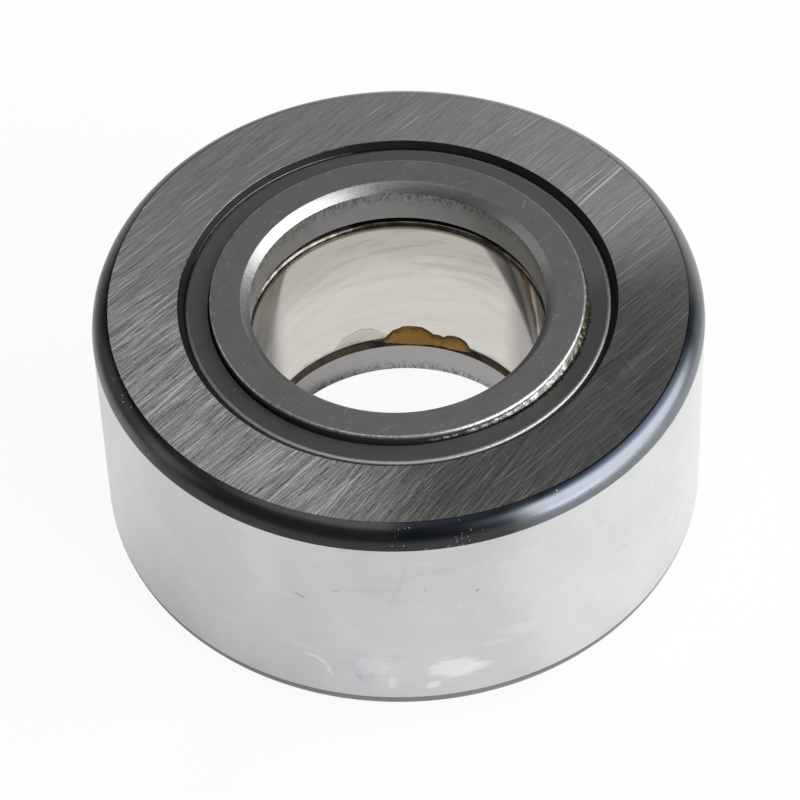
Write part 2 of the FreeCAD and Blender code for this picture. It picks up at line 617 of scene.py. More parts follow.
def unrolled(place, bearing, radius):
    """A cylinder laid flat: millimetres round it from a bearing, then its height."""
    turn = {"Vector": place, "Angle": -math.radians(bearing)}
    x, y, z = split(add("VectorRotate", turn, rotation_type="Z_AXIS"))
    angle = calc("ARCTAN2", y, x)
    return add("CombineXYZ", {"X": times(angle, radius), "Y": z})


print("a metre on a piece is read as", round(1 / MM), "millimetres")

# %% Helpers that start a finish and tell its halves apart
def upper_half(height):
    """1 on the upper half of the roller and 0 on the lower one, for marks that only one side has."""
    return fade(height, mid_height / MM - 0.5, mid_height / MM + 0.5)


def new_finish(name, **constants):
    """Start a Principled material with sockets that are even all over, and give the place on it too."""
    finish = bpy.data.materials.new(name)
    finish.use_nodes = True
    shader = finish.node_tree.nodes["Principled BSDF"]
    for socket, value in constants.items():
        shader.inputs[socket].default_value = value
    started.append(finish)
    return finish, place_mm()


print("the upper half starts at a height of", round(mid_height / MM, 3), "mm")

# %% Helpers that draw patterns
def noise(place, scale, detail=2.0, roughness=0.5):
    """Clouds: how many in a millimetre, how many finer layers they have, and how strong those are."""
    return add("TexNoise", {"Vector": place, "Scale": scale, "Detail": detail, "Roughness": roughness})


def specks(place, per_mm, size, share):
    """Dust or pits: a dot in a share of the cells of a Voronoi pattern."""
    cells = {"Vector": place, "Scale": per_mm}
    gap = add("TexVoronoi", cells, output="Distance")
    chance = add("SeparateColor", {0: add("TexVoronoi", cells, output="Color")})
    core = size * 0.6
    dot = fade(gap, size, core)
    return times(dot, calc("LESS_THAN", chance, share))


def mark(place, centre, half_size, turn, wobble, ragged=0.9, soft=0.9):
    """An oval smudge on a flat place: 1 inside, and fading out over an outline that wobbles."""
    spot = {
        "Vector": place,
        "Location": (*centre, 0),
        "Rotation": (0, 0, math.radians(turn)),
        "Scale": (*half_size, 1),
    }
    local = add("Mapping", spot, vector_type="TEXTURE")
    reach = add("VectorMath", {0: local}, output="Value", operation="LENGTH")
    reach = scaled(wobble, ragged, reach)
    inner_reach = 0.65
    outline = inner_reach + ragged / 2
    return fade(reach, outline + soft / 2, outline - soft / 2)


def bump(height, distance, strength=1.0):
    """A surface that catches the light as if a pattern raised it by a distance."""
    return add("Bump", {"Height": height, "Distance": distance, "Strength": strength})


print("patterns: clouds, specks, marks and bumps")

# %% [markdown]
# ## Ground tread
# The tread was ground round and polished by use: a bright, slightly blurred mirror. Grinding leaves
# fine lines round the ring, so a noise is squeezed along the axis. Handling leaves faint clouds and
# smears, dried splashes with darker rims, white wipes near the lower rim and some small nicks. The
# marks are ovals on the unrolled tread, because a smudge has a place of its own and a noise has none.

# %% Tread finish
tread_finish, place = new_finish("ground_tread", Metallic=1.0)
lines = noise(stretch(place, 0.15, 0.15, 14), 1.0, 3)
clouds = noise(stretch(place, 0.16, 0.16, 0.1), 1.0, 4, 0.6)
wiped = fade(clouds, 0.35, 0.7)
colour = tint(wiped, grey(0.73, 0.004), grey(0.78, -0.008))
fine = fade(lines, 0.3, 0.7, 0.0, 0.1)
colour = tint(fine, colour, grey(0.5))
count_nodes("grinding lines")

# %% Smears round the tread
white_wipe = grey(1.0)
near_bearing = 270
flat_tread = unrolled(place, near_bearing, tread_radius / MM)
drawn_out = noise(stretch(flat_tread, 0.22, 0.9, 1), 1.0, 5, 0.65)
pale = fade(drawn_out, 0.56, 0.66, 0.0, 0.12)
bluish = fade(drawn_out, 0.44, 0.36, 0.0, 0.2)
colour = tint(pale, colour, grey(0.95))
colour = tint(bluish, colour, (0.58, 0.61, 0.65, 1))
count_nodes("smears")

# %% Dried splashes
degree = math.radians(1) * tread_radius / MM
splash_centre = (11 * degree, 17.5)
splash_half_size = (6.0, 5.0)
splash_shore = 0.56
blotches = noise(flat_tread, 1.1, 4, 0.7)
splashed = mark(flat_tread, splash_centre, splash_half_size, 0, drawn_out, ragged=1.2, soft=0.9)
from_shore = calc("ABSOLUTE", calc("SUBTRACT", blotches, splash_shore))
rims = times(fade(from_shore, 0.02, 0.0, 0.0, 0.22), splashed)
colour = tint(rims, colour, grey(0.5))
spots = times(fade(blotches, 0.57, 0.6, 0.0, 0.2), splashed)
colour = tint(spots, colour, white_wipe)
count_nodes("splashes")

# %% List the marks on the tread
blue_smear = (0.6, 0.64, 0.71, 1)
dark_nick = grey(0.25)
tread_marks = [
    # bearing from the near side in degrees, height, half width and half height in millimetres,
    # turn in degrees, colour, strength, softness
    (8.2, 7.1, 3.9, 2.3, -5, white_wipe, 0.7, 0.3),
    (12.0, 6.6, 2.6, 1.0, 6, white_wipe, 0.5, 0.3),
    (4.0, 4.7, 1.3, 0.7, 20, white_wipe, 0.6, 0.3),
    (-3.5, 5.4, 0.7, 1.6, -4, white_wipe, 0.4, 0.35),
    (-18.3, 8.3, 1.3, 0.38, -5, white_wipe, 0.55, 0.6),
    (-16.6, 7.7, 1.0, 0.34, -40, white_wipe, 0.6, 0.6),
    (-15.3, 6.5, 0.36, 1.2, 14, white_wipe, 0.5, 0.6),
    (-21.0, 9.6, 3.0, 0.9, -8, white_wipe, 0.2, 0.9),
    (-8.4, 7.4, 2.2, 3.6, 12, blue_smear, 0.5, 0.6),
    (-7.0, 7.9, 2.6, 2.0, 0, white_wipe, 0.25, 0.3),
    (-6.0, 6.0, 0.7, 2.4, 3, white_wipe, 0.15, 0.4),
    (-9.6, 5.9, 0.35, 1.0, 30, (0.46, 0.51, 0.68, 1), 0.45, 0.6),
    (16.0, 9.9, 2.2, 0.5, -9, white_wipe, 0.25, 0.7),
    (20.0, 11.0, 2.8, 1.2, -12, white_wipe, 0.2, 0.8),
    (-2.0, 20.2, 0.4, 5.4, -17, blue_smear, 0.45, 0.5),
    (-7.0, 20.0, 3.2, 0.7, 0, blue_smear, 0.45, 0.5),
    (5.0, 22.6, 3.4, 0.8, 4, blue_smear, 0.35, 0.5),
    (-20.2, 17.6, 1.0, 0.13, -30, dark_nick, 0.8, 0.5),
    (-13.2, 19.3, 0.6, 0.12, -3, dark_nick, 0.6, 0.5),
    (12.5, 18.8, 0.2, 0.2, 0, dark_nick, 0.8, 0.5),
    (3.0, 20.0, 0.16, 0.16, 0, dark_nick, 0.6, 0.5),
]
print(len(tread_marks), "marks")

# %% Draw the marks on the tread
streaky = noise(stretch(flat_tread, 0.7, 2.2, 1), 1.1, 5, 0.65)
for bearing, height, half_width, half_height, turn, shade, strength, soft in tread_marks:
    centre = (bearing * degree, height)
    oval = mark(flat_tread, centre, (half_width, half_height), turn, streaky, ragged=1.0, soft=soft)
    colour = tint(times(oval, strength), colour, shade)
use("Base Color", colour)
use("Roughness", scaled(wiped, 0.06, 0.2))

# %% [markdown]
# ## Black corner
# The corner kept the oxide of its hardening: nearly black most of the way round, and blue steel near
# the right. Where the corner mirrors the lamp there, the blue is painted paler as a painted highlight,
# palest next to the tread, and darker next to the face as painted shade. It is a dark metal rather
# than a paint, so it stays black until the lamp is mirrored in it. The left is paler next to the tread
# and darker next to the face. The lower corner is painted a lighter grey, as painted light, and the
# far side is a lighter grey. Just before the blue side the black is painted darker still, as painted
# shade. Grains of dust lie on it in two places, so a cluster mask makes them likelier there than
# elsewhere.

# %% Corner finish
corner_finish, place = new_finish("blue_black_corner", Metallic=1.0)
film = fade(noise(place, 0.25, 3), 0.3, 0.7)
direction = from_axis(place)[1]
blued_and_highlight = fade(towards(direction, 325), 0.79, 0.9)
height = split(place)["Z"]
from_middle = calc("ABSOLUTE", calc("SUBTRACT", height, mid_height / MM))
face_level = (face_top - mid_height) / MM
to_face = fade(from_middle, face_level - 1.5, face_level - 0.9)
black = tint(to_face, grey(0.06), grey(0.075, -0.02))
# painted light: the lower corner is painted a lighter grey
lower_corner_painted_light = fade(height, 5, 4)
black = tint(lower_corner_painted_light, black, grey(0.28))
far_side = fade(towards(direction, 50), 0.4, 0.8)
black = tint(far_side, black, grey(0.22))
# painted shade: the black is painted darker just before the blue side
blackest_painted_shade = fade(towards(direction, 280), 0.965, 0.99)
black = tint(times(blackest_painted_shade, to_face), black, (0.024, 0.029, 0.036, 1))
left_side = fade(towards(direction, 190), 0.86, 0.96)
black = tint(left_side, black, tint(to_face, grey(0.12), grey(0.035)))
count_nodes("the black")

# %% Blue side of the corner
# painted highlight: the blue is paler towards the tread, where the corner mirrors the lamp
blue = tint(to_face, (0.2, 0.216, 0.236, 1), (0.094, 0.104, 0.118, 1))
# painted shade: the blue turns darker next to the face
face_edge_painted_shade = fade(from_middle, face_level - 0.53, face_level - 0.2)
blue = tint(face_edge_painted_shade, blue, (0.026, 0.033, 0.045, 1))
colour = tint(blued_and_highlight, black, blue)
count_nodes("the blue")

# %% Dust on the corner
near_cluster = fade(towards(direction, 275), 0.985, 0.995)
left_cluster = fade(towards(direction, 206), 0.97, 0.99, 0.0, 0.6)
cluster = larger(near_cluster, left_cluster)
cluster = times(cluster, upper_half(height))
gathered = fade(noise(place, 0.4, 2), 0.46, 0.58)
cluster = times(cluster, gathered)
dust = specks(place, 3.4, 0.19, scaled(cluster, 0.7, 0.006))
use("Base Color", tint(dust, colour, grey(0.8)))
use("Roughness", scaled(film, 0.06, 0.25))

# %% [markdown]
# ## Ground face
# A cup wheel ground the face, so its scratches run almost straight across the whole ring, with a
# steeper second set on the near side, a few that cross them near the right, and a fine grit. Scratches
# scatter light across themselves much more than along themselves, so the shader is anisotropic, with
# its tangent across them. For the scratches the face is divided into narrow lanes along the bearing,
# each lane is cut into strokes, and a White Noise gives every stroke a shade of its own. A smooth noise
# would run into blots, where a lane keeps its width. Near the right the face is worn smooth and only
# single scratches are left; there it is also painted darker, as painted shade. Along one diagonal the
# face is painted lighter, as a painted sheen of the lamp in its scratches.

# %% Strokes
def strokes(place, bearing, lanes, length, seed):
    """A random shade for each stroke of so many lanes per millimetre, and a taper at its ends."""
    lane_shift = 97.0
    end_taper = 0.35
    turn = {"Vector": place, "Angle": -math.radians(bearing)}
    along, across, _ = split(add("VectorRotate", turn, rotation_type="Z_AXIS"))
    lane = calc("FLOOR", scaled(across, lanes, seed))
    chance = add("TexWhiteNoise", {"W": lane}, noise_dimensions="1D")
    pace = scaled(chance, 1 / length, 0.5 / length)
    steps = scaled(along, pace, times(chance, lane_shift))
    cell = add("CombineXYZ", {"X": lane, "Y": calc("FLOOR", steps), "Z": seed})
    shade = add("TexWhiteNoise", {"Vector": cell}, noise_dimensions="3D")
    from_end = calc("PINGPONG", steps, 0.5)
    return shade, fade(from_end, 0.0, end_taper)


def scratches(place, bearing, lanes, length, seed, share):
    """Tapered lines of random strength on a share of the strokes, and 0 on the others."""
    shade, taper = strokes(place, bearing, lanes, length, seed)
    return times(fade(shade, share, 0.0), taper)


print("strokes have a shade and a taper, and scratches are a share of them")

# %% Grinding pattern of the face
grinding = 44
drift_reach = 1.2
stroke_sets = [
    # bearing in degrees, lanes per millimetre, usual length in millimetres, seed
    (grinding, 14.0, 5.0, 0.0),
    (grinding + 6, 11.0, 7.0, 5.0),
    (grinding - 5, 13.0, 4.0, 9.0),
]
face_finish, place = new_finish("ground_face", Metallic=1.0, Anisotropic=0.6)
drift = add("TexNoise", {"Vector": place, "Scale": 0.05, "Detail": 1.0}, output="Color")
reach = (drift_reach, drift_reach, 0)
wavering = add("VectorMath", {0: drift, 1: reach, 2: place}, operation="MULTIPLY_ADD")
mean_shade = 0.5
level = -mean_shade * len(stroke_sets)
for bearing, lanes, length, seed in stroke_sets:
    level = calc("ADD", strokes(wavering, bearing, lanes, length, seed)[0], level)
count_nodes("strokes")

# %% Sides of the face, slanting strokes and grit
direction = from_axis(place)[1]
diagonal = towards(direction, 34)
painted_sheen = times(diagonal, diagonal)
worn_and_painted_shade = fade(towards(direction, 318), 0.35, 0.95)
rough_side = fade(towards(direction, 225), 0.2, 0.9)
near_side = fade(towards(direction, 276), 0.8, 0.95)
patches = fade(noise(place, 0.25, 2), 0.35, 0.65, 0.3, 1.3)
slanting = fade(towards(direction, 283), 0.75, 0.95)
slant = strokes(wavering, grinding + 14, lanes=13.0, length=5.0, seed=41.0)[0]
level = times(level, fade(slanting, 0.0, 1.0, 1.0, 0.5))
slant = times(calc("SUBTRACT", slant, mean_shade), slanting)
level = scaled(slant, 1.4, level)
grit = calc("SUBTRACT", noise(place, 7, 2), mean_shade)
level = scaled(grit, 2.2, level)
count_nodes("slanting strokes and grit")

# %% Single scratches
share = scaled(rough_side, 0.16, 0.05)
share = times(share, patches)
lines = scratches(wavering, grinding - 2, lanes=15.0, length=5.0, seed=11.0, share=share)
share = times(near_side, 0.12)
steep = scratches(wavering, grinding + 13, lanes=15.0, length=6.0, seed=23.0, share=share)
long_lines = scratches(wavering, grinding + 4, lanes=14.0, length=22.0, seed=29.0, share=0.05)
right_side = fade(towards(direction, 332), 0.6, 0.9, 0.0, 0.02)
share = times(patches, right_side)
crossing = scratches(wavering, grinding + 74, lanes=12.0, length=6.0, seed=31.0, share=share)
lines = larger(larger(lines, steep), long_lines)
count_nodes("scratches")

# %% Face tone
# painted sheen: the tone is lighter along one diagonal, where the scratches mirror the lamp
tone = tint(painted_sheen, grey(0.4, 0.02), grey(0.5, 0.01))
# painted shade: the worn side is painted a darker grey
tone = tint(worn_and_painted_shade, tone, grey(0.3))
depth = scaled(rough_side, 0.34, fade(worn_and_painted_shade, 0.0, 1.0, 0.22, 0.34))
shade = scaled(level, depth, 0.96)
gain = scaled(rough_side, 0.2, 1.1)
shade = scaled(lines, gain, shade)
shade = scaled(crossing, 0.8, shade)
use("Base Color", add("VectorMath", {0: tone, "Scale": shade}, operation="SCALE"))
use("Roughness", fade(worn_and_painted_shade, 0.0, 1.0, 0.42, 0.3))
across = (math.sin(math.radians(grinding)), -math.cos(math.radians(grinding)), 0)
across = add("VectorTransform", {0: across}, convert_from="OBJECT", convert_to="WORLD")
use("Tangent", across)

# %% [markdown]
# ## Shield sheet
# The shield is phosphated sheet, dull and cloudy, darker near the right, with a few grains of dust.
# Drawing burnished its bend, which shows as a light line. On the far left the bend is painted darker,
# as painted shade, so the line is dimmest there. Grease was wiped over the lip on one side: there the
# sheet is stained olive and wet. The stain is a mask in the shader and no piece of its own, because it
# has no thickness.

# %% Shield finish
shield_finish, place = new_finish("blackened_sheet", Metallic=1.0)
distance, direction = from_axis(place)
tone = fade(towards(direction, 70), -0.9, 0.7)
tone = scaled(noise(place, 0.5, 4), 0.5, tone)
colour = tint(tone, grey(0.165), grey(0.235))
shaded = fade(towards(direction, 342), 0.88, 0.97, 0.0, 0.7)
colour = tint(shaded, colour, grey(0.13))
dust = specks(place, 1.4, 0.12, 0.03)
colour = tint(dust, colour, grey(0.6))
ragged_edge = scaled(noise(place, 2.2, 4, 0.65), -1.3, distance)
greased = fade(ragged_edge, 19.0, 18.75)
wiped_side = fade(towards(direction, 328), 0.84, 0.94)
stain = times(times(greased, wiped_side), upper_half(split(place)["Z"]))
use("Base Color", tint(stain, colour, (0.13, 0.122, 0.06, 1)))
use("Roughness", fade(stain, 0.0, 1.0, 0.5, 0.22))

# %% Bend finish
bend_finish, place = new_finish("burnished_bend", Metallic=1.0)
mottle = noise(place, 2.5, 4)
colour = tint(mottle, grey(0.34), grey(0.52))
# painted shade: the bend is painted darker on the far left
far_left_painted_shade = towards(from_axis(place)[1], 136)
use("Base Color", tint(fade(far_left_painted_shade, 0.4, 0.9, 0.0, 0.7), colour, grey(0.12)))
use("Roughness", fade(mottle, 0.3, 0.7, 0.4, 0.5))

# %% [markdown]
# ## Matte flange ring
# The clamped face is a matte grey with a fine grain, small blotches, short scuffs and specks. The
# nose is painted almost black, as painted shade of the narrow gap it stands in and of the dark shield
# it mirrors, under a thin film of oil, and its rounded edge is worn bright. They are three finishes and
# no masks in one, because each has sharp limits that the mesh already has as edges.

# %% Flange face finish
flange_finish, place = new_finish("matte_flange", Metallic=1.0)
mottle = noise(place, 0.7, 4)
grain = noise(place, 9, 2)
blotch = fade(noise(place, 1.6, 3, 0.6), 0.6, 0.7, 0.0, 0.6)
dust = specks(place, 2.6, 0.2, 0.05)
scuff_share = 0.015
scuffs = scratches(place, 25, lanes=9.0, length=1.3, seed=3.0, share=scuff_share)
steeper = scratches(place, 72, lanes=9.0, length=1.1, seed=7.0, share=scuff_share)
scuffs = calc("ADD", scuffs, steeper)
colour = tint(mottle, grey(0.24), grey(0.33, -0.01))
colour = tint(fade(grain, 0.35, 0.7, 0.0, 0.5), colour, grey(0.2))
colour = tint(blotch, colour, grey(0.2))
colour = tint(times(scuffs, 0.45), colour, grey(0.6))
use("Base Color", tint(dust, colour, grey(0.62)))
use("Roughness", fade(grain, 0.3, 0.7, 0.5, 0.6))
use("Normal", bump(grain, 0.01 * MM, 0.3))

# %% Nose and worn edge finishes
# painted shade: the nose is painted almost black for the shade in its gap
nose_painted_shade_finish, place = new_finish("oily_nose_painted_shade", IOR=1.48)
film = noise(place, 0.7, 3)
use("Base Color", tint(film, grey(0.012), grey(0.03)))
use("Roughness", fade(film, 0.3, 0.7, 0.24, 0.36))

edge_finish, place = new_finish("worn_edge", Metallic=1.0)
wear = noise(place, 2.5, 4, 0.6)
use("Base Color", tint(fade(wear, 0.3, 0.65), grey(0.2), grey(0.5)))
use("Roughness", fade(wear, 0.3, 0.7, 0.48, 0.36))

# %% [markdown]
# ## Mouth and flange bore
# The mouth chamfer is turned and a little grainy, so its mirror of the lamp breaks up at both ends.
# One noise drives its colour, roughness and bump, because the same grains make all three. The flange
# bore behind it is satin, with dark grit along its outer edge, and it is painted paler in the lower
# flange ring, as painted light.

# %% Mouth finish
mouth_finish, place = new_finish("turned_mouth", Metallic=1.0)
grain = noise(place, 7, 3, 0.6)
use("Base Color", tint(fade(grain, 0.3, 0.7), grey(0.19), grey(0.3)))
use("Roughness", fade(grain, 0.3, 0.7, 0.34, 0.46))
use("Normal", bump(grain, 0.02 * MM, 0.3))

# %% Flange bore finish
satin_finish, place = new_finish("satin_bore", Metallic=1.0)
height = split(place)["Z"]
mottle = noise(place, 0.8, 4)
grain = noise(place, 6, 3, 0.6)
flange_level = flange_top / MM
top_edge = fade(height, flange_level - 3.0, flange_level - 1.0)
low_edge = fade(height, 2.6, 1.0)
edge = larger(top_edge, low_edge)
grit = noise(stretch(place, 1, 1, 0.6), 3.0, 4, 0.7)
pits = times(fade(grit, 0.45, 0.58), edge)
upper_tone = tint(mottle, grey(0.29, 0.02), grey(0.45, 0.02))
# painted light: the lower flange ring's bore is painted paler than the upper one
lower_tone_painted_light = tint(mottle, grey(0.46, 0.02), grey(0.54, 0.02))
upper_ring = fade(height, 10, 20)
colour = tint(upper_ring, lower_tone_painted_light, upper_tone)
colour = tint(times(grain, 0.3), colour, grey(0.2, 0.03))
use("Base Color", tint(times(pits, 0.7), colour, grey(0.09)))
use("Roughness", fade(mottle, 0.3, 0.7, 0.36, 0.46))

# %% [markdown]
# ## Polished bore
# The inner ring's bore is polished and faintly warm. Soft smears lie across it, mostly near its
# upper end, with two drawn-out streaks, and towards that end it is painted darker, as painted shade.
# Its left wall is rougher and painted a dull grey, and its right wall a brownish dark: both are painted
# reflections of dark things that the walls mirror. A dried film of oil left a brown outline shaped like
# a small hill: it is drawn where the height is close to that of a parabola. A brown haze lies along
# both joints.

# %% Smears in the bore
bore_finish, place = new_finish("polished_bore", Metallic=1.0)
far_bearing = 90
flat_bore = unrolled(place, far_bearing, bore_radius / MM)
round_it, height, _ = split(flat_bore)
smear_tilt = math.radians(8)
tilt = {"Vector": flat_bore, "Angle": smear_tilt}
tilted = add("VectorRotate", tilt, rotation_type="Z_AXIS")
smears = noise(stretch(tilted, 0.12, 0.8, 1), 1.0, 5, 0.62)
clouds = noise(stretch(tilted, 0.1, 0.3, 1), 1.0, 4, 0.6)
dull = larger(fade(smears, 0.44, 0.62), fade(clouds, 0.46, 0.64))
upper_end = fade(height, 13.0, 21.5, 0.14, 1.0)
dull = times(dull, upper_end)
# painted shade: the bore is painted darker towards its upper end
painted_shade_height = scaled(noise(flat_bore, 0.25, 4), 5.0, height)
dull = larger(dull, fade(painted_shade_height, 17.0, 23.5, 0.0, 0.75))
count_nodes("smears")

# %% Walls and streaks of the bore
bore_streaks = [
    # middle round the bore and in height, half size, both in millimetres, and turn in degrees
    ((-5.5, 19.4), (4.5, 0.25), -9),
    ((-8.5, 20.8), (3.2, 0.35), -12),
]
sideways = from_axis(place)[1]
# painted reflections: the left wall is painted a dull grey and the right wall a brownish dark
left_wall_painted_reflection = fade(towards(sideways, 184), 0.72, 0.93)
right_wall_painted_reflection = fade(towards(sideways, 356), 0.66, 0.86)
dull = larger(dull, times(left_wall_painted_reflection, 0.8))
colour = tint(dull, (0.8, 0.77, 0.715, 1), (0.51, 0.49, 0.435, 1))
colour = tint(times(right_wall_painted_reflection, 0.7), colour, grey(0.24, 0.06))
left_reflection_mottle = times(left_wall_painted_reflection, fade(clouds, 0.3, 0.65, 0.3, 0.9))
colour = tint(left_reflection_mottle, colour, grey(0.3, 0.03))
cloudy = noise(flat_bore, 1.1, 4, 0.6)
for centre, half_size, turn in bore_streaks:
    streak = mark(flat_bore, centre, half_size, turn, cloudy)
    colour = tint(times(streak, 0.45), colour, grey(0.45, 0.04))
count_nodes("walls and streaks")

# %% Dried film in the bore
# millimetres on the bore when it is laid flat
film_top = 7.85
film_middle = 4.2
film_spread = 2.33
film_line = 0.256
low_joint = lower_joint / MM
high_joint = joint_height / MM
aside = calc("DIVIDE", calc("SUBTRACT", round_it, film_middle), film_spread)
hill = calc("SUBTRACT", film_top, times(aside, aside))
waver = scaled(noise(flat_bore, 0.9, 3), 0.9, -0.45)
under = calc("SUBTRACT", calc("ADD", hill, waver), height)
outline = fade(calc("ABSOLUTE", under), film_line, 0.0, 0.0, 0.45)
inside = fade(under, 0.0, 0.4, 0.0, 0.32)
on_ring = fade(height, low_joint + 0.25, low_joint + 0.85)
film = times(larger(outline, inside), on_ring)
colour = tint(film, colour, (0.24, 0.19, 0.11, 1))
haze = scaled(noise(flat_bore, 0.5, 3), 1.2, height)
haze = fade(haze, low_joint + 1.75, low_joint + 0.85, 0.0, 0.55)
haze = larger(haze, fade(height, high_joint - 1.1, high_joint - 0.7, 0.0, 0.8))
use("Base Color", tint(haze, colour, (0.1, 0.08, 0.05, 1)))
rough = fade(smears, 0.3, 0.7, 0.05, 0.1)
rough = scaled(left_wall_painted_reflection, 0.3, rough)
use("Roughness", scaled(right_wall_painted_reflection, 0.02, rough))

# %% [markdown]
# ## Oil, grease and the dark seats
# Old oil is nearly black in the upper joint and brown in the lower one. Fresh grease is olive on the
# nose, and metal shines through it where it was wiped thin. In the bore it is amber where it stands
# thick and brown along its thin shoreline, so its colour follows its distance from the axis. The
# shield's seat was never ground and stayed black. Its sharp edges are painted bright on the far left,
# as a painted highlight where they mirror the lamp.

# %% Oil finishes
groove_finish, place = new_finish("old_oil", Metallic=1.0, Roughness=0.2)
film = noise(place, 0.9, 4, 0.6)
film_dark = (0.055, 0.05, 0.042, 1)
film_light = (0.14, 0.13, 0.11, 1)
use("Base Color", tint(fade(film, 0.35, 0.65), film_dark, film_light))
use("Normal", bump(film, 0.06 * MM, 0.6))

brown_oil, place = new_finish("brown_oil", Roughness=0.5, IOR=1.4)
film = noise(place, 0.5, 3, 0.5)
use("Base Color", tint(fade(film, 0.35, 0.65), (0.042, 0.034, 0.022, 1), (0.14, 0.115, 0.08, 1)))

# %% Seat and rim finishes
seat_finish, place = new_finish("black_seat", IOR=1.16, Roughness=0.4)
film = noise(place, 0.8, 3)
use("Base Color", tint(film, grey(0.005), grey(0.012)))

rim_finish, place = new_finish("bright_rim", Metallic=1.0, Roughness=0.4)
direction = from_axis(place)[1]
# painted highlight: the seat's edges are painted bright on the far left
painted_highlight_side = scaled(noise(place, 1.2, 4), 0.3, towards(direction, 136))
use("Base Color", tint(fade(painted_highlight_side, 0.95, 1.1), grey(0.02), grey(0.27)))

# %% Olive grease finish
olive_grease, place = new_finish("olive_grease", IOR=1.47)
depth = noise(place, 1.4, 3)
olive = tint(fade(depth, 0.45, 0.7), (0.012, 0.011, 0.006, 1), (0.1, 0.092, 0.04, 1))
direction = from_axis(place)[1]
height = split(place)["Z"]
wiped_thin = fade(towards(direction, 305), 0.86, 0.93)
lip_level = shield_top / MM
over_lip = fade(height, lip_level + 0.1, lip_level + 0.3)
thin = times(wiped_thin, over_lip)
flecks = noise(stretch(place, 1, 1, 1.5), 4.5, 3, 0.6)
thin = times(thin, fade(flecks, 0.4, 0.52))
silver = tint(fade(depth, 0.35, 0.65), grey(0.1), grey(0.27))
use("Base Color", tint(thin, olive, silver))
use("Metallic", thin)
use("Roughness", fade(thin, 0.0, 1.0, 0.2, 0.42))

# %% Amber grease finish
amber_grease, place = new_finish("amber_grease", Roughness=0.18, IOR=1.47)
distance = from_axis(place)[0]
bore_wall = bore_radius / MM
thick = fade(distance, bore_wall - 0.04, bore_wall - 0.36)
clots = fade(noise(place, 0.7, 2), 0.55, 0.75)
amber = tint(clots, (0.7, 0.37, 0.018, 1), (0.3, 0.18, 0.02, 1))
use("Base Color", tint(thick, (0.17, 0.115, 0.04, 1), amber))

# %% [markdown]
# ## Roller steel
# The rollers and raceways are hidden, apart from what shows when the roller is taken apart. They
# are ground and lapped: a bright mirror with fine lines, drawn by a squeezed noise as on the tread.

# %% Roller finish
roller_finish, place = new_finish("roller_steel", Metallic=1.0, Roughness=0.15)
lines = noise(stretch(place, 0.3, 0.3, 20), 1.0, 3)
use("Base Color", tint(lines, grey(0.55), grey(0.66)))

# %% [markdown]
# ## Painting the zones
# One ring carries several finishes. Each face of the mesh picks its finish by its distance from the
# axis, its height and its slope. Heights on the lower side are mirrored to the upper one, so both
# sides are alike. A limit is met to a hair, because the broken edges lie a little beside it.

# %% Paint helper
HAIR = 0.06 * MM
FACES_AXIS = -0.9
LEANS_IN = -0.3
LIES_FLAT = 0.99
NEARLY_FLAT = 0.97
TILTED = 0.1


def paint(piece, finishes, pick):
    """Give each face the finish whose name pick returns for its radius, height and slope."""
    names = list(finishes)
    piece.data.materials.clear()
    for name in names:
        piece.data.materials.append(finishes[name])
    for face in piece.data.polygons:
        radius = math.hypot(face.center.x, face.center.y)
        outward = (face.normal.x * face.center.x + face.normal.y * face.center.y) / radius
        level = mid_height + abs(face.center.z - mid_height)
        face.material_index = names.index(pick(radius, level, outward, abs(face.normal.z)))
    print(piece.name, "painted with", ", ".join(names))


print(f"zones are met to {HAIR / MM} mm")

# %% Paint the outer ring
def outer_zone(radius, level, outward, slope):
    """The tread, face, corner, rim of the seat, seat or raceway."""
    if level < face_top - corner_height + HAIR and radius > tread_radius - HAIR:
        return "tread"
    if slope > LIES_FLAT and level > face_top - HAIR:
        return "face"
    if radius > tread_radius - corner_width - HAIR:
        return "corner"
    if radius > seat_radius + seat_chamfer - HAIR and level > face_top - 2 * HAIR:
        return "rim"
    if radius < seat_radius + HAIR and abs(level - face_top + seat_chamfer) < HAIR and slope > TILTED:
        return "rim"
    if radius < seat_radius + seat_chamfer + HAIR and level > seat_height - HAIR:
        return "seat"
    return "raceway"


paint(outer_ring, {
    "tread": tread_finish,
    "corner": corner_finish,
    "face": face_finish,
    "seat": seat_finish,
    "rim": rim_finish,
    "raceway": roller_finish,
}, outer_zone)

# %% Paint the shields and flange rings
def shield_zone(radius, level, outward, slope):
    """The burnished bend or the dull sheet."""
    bent = level > shield_top - shield_bend - HAIR and radius > seat_radius - shield_bend - HAIR
    return "bend" if bent else "sheet"


def flange_zone(radius, level, outward, slope):
    """The bore, mouth, joint groove, nose, worn edge or clamped face."""
    if outward < FACES_AXIS:
        return "bore"
    if outward < LEANS_IN:
        return "mouth" if level > collar_top else "groove"
    if level < flange_top - nose_rounding - HAIR / 2:
        return "nose"
    return "edge" if slope < NEARLY_FLAT else "face"


for piece in (upper_shield, lower_shield):
    paint(piece, {"bend": bend_finish, "sheet": shield_finish}, shield_zone)
for piece in (upper_flange, lower_flange):
    paint(piece, {
        "bore": satin_finish,
        "mouth": mouth_finish,
        "groove": groove_finish,
        "nose": nose_painted_shade_finish,
        "edge": edge_finish,
        "face": flange_finish,
    }, flange_zone)

# %% Paint the inner ring, oil and grease
def inner_zone(radius, level, outward, slope):
    """The bore, joint groove or raceway."""
    if outward < FACES_AXIS:
        return "bore"
    return "groove" if radius < inner_raceway - inner_edge - HAIR else "raceway"


paint(inner_ring, {"bore": bore_finish, "groove": groove_finish, "raceway": roller_finish}, inner_zone)
for piece, finish in [
    (upper_oil, groove_finish),
    (lower_oil, brown_oil),
    (nose_grease, olive_grease),
    (bore_grease, amber_grease),
]:
    piece.data.materials.clear()
    piece.data.materials.append(finish)

